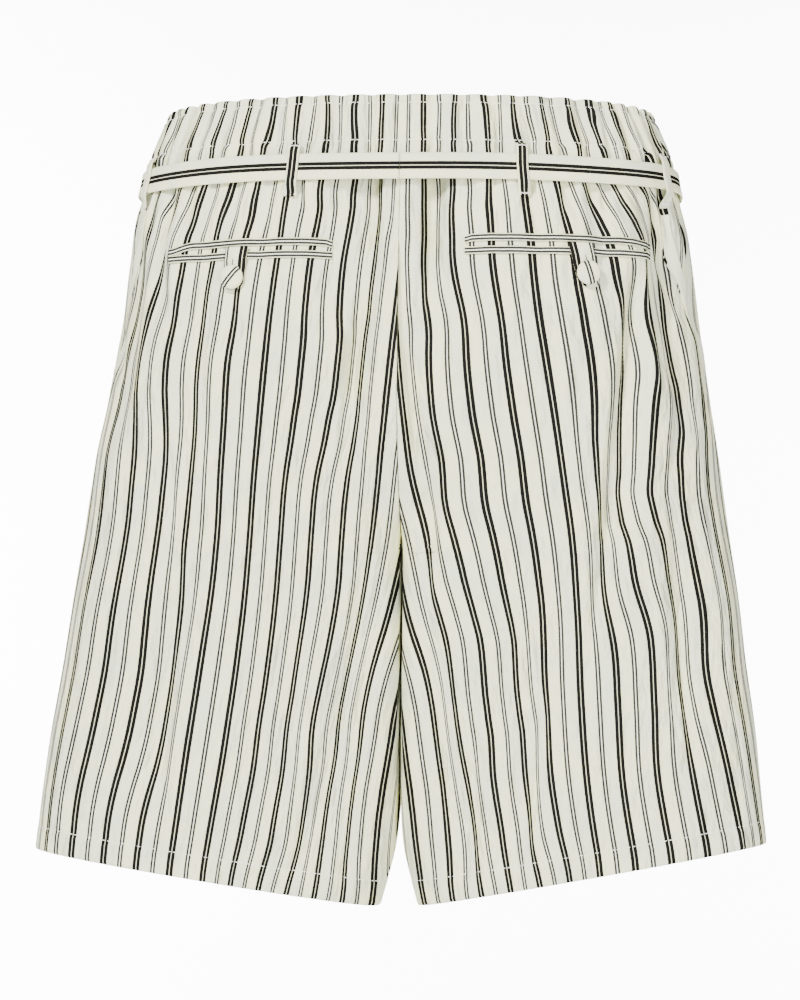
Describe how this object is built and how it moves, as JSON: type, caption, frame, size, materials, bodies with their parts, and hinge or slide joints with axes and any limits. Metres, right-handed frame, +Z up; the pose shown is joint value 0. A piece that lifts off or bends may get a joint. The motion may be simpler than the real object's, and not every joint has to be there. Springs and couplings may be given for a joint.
{
  "type": "bermuda shorts",
  "caption": "Loose striped cotton bermuda shorts filled out as worn, with a gathered elastic waistband, a narrow tied cloth belt in loops and buttoned welt pockets behind.",
  "frame": {"origin": "centre of the waist opening, half way up the elastic waistband, where the wearer's waist holds the shorts up", "axes": "+Z up to the waist, -Y towards the seat, +Y towards the front, -X towards the wearer's left"},
  "size_m": [0.476, 0.195, 0.5211],
  "materials": {
    "shorts_cloth": "soft matt woven cloth, off-white with fine near-black lengthwise stripes in twos",
    "belt_cloth": "the same cloth cut in narrow strips, with one double stripe along the middle",
    "pocket_cloth": "the same cloth, pressed, with its stripes along each welt and down each tab",
    "button_cloth": "the same cloth stretched over a domed button, with one thin double stripe"
  },
  "bodies": {
    "root": {"back_left": "shorts_cloth", "back_right": "shorts_cloth", "front_left": "shorts_cloth", "front_right": "shorts_cloth", "waistband_back": "shorts_cloth", "waistband_front": "shorts_cloth", "side_pocket_left": "shorts_cloth", "side_pocket_right": "shorts_cloth", "belt_left": "belt_cloth", "belt_right": "belt_cloth", "belt_knot": "belt_cloth", "belt_end_left": "belt_cloth", "belt_end_right": "belt_cloth", "belt_loop_back_left": "belt_cloth", "belt_loop_back_right": "belt_cloth", "belt_loop_side_left": "belt_cloth", "belt_loop_side_right": "belt_cloth", "belt_loop_front_left": "belt_cloth", "belt_loop_front_right": "belt_cloth", "pocket_left_welt_upper": "pocket_cloth", "pocket_left_welt_lower": "pocket_cloth", "pocket_left_tab": "pocket_cloth", "pocket_right_welt_upper": "pocket_cloth", "pocket_right_welt_lower": "pocket_cloth", "pocket_right_tab": "pocket_cloth", "pocket_left_button": "button_cloth", "pocket_right_button": "button_cloth"}
  },
  "joints": []
}
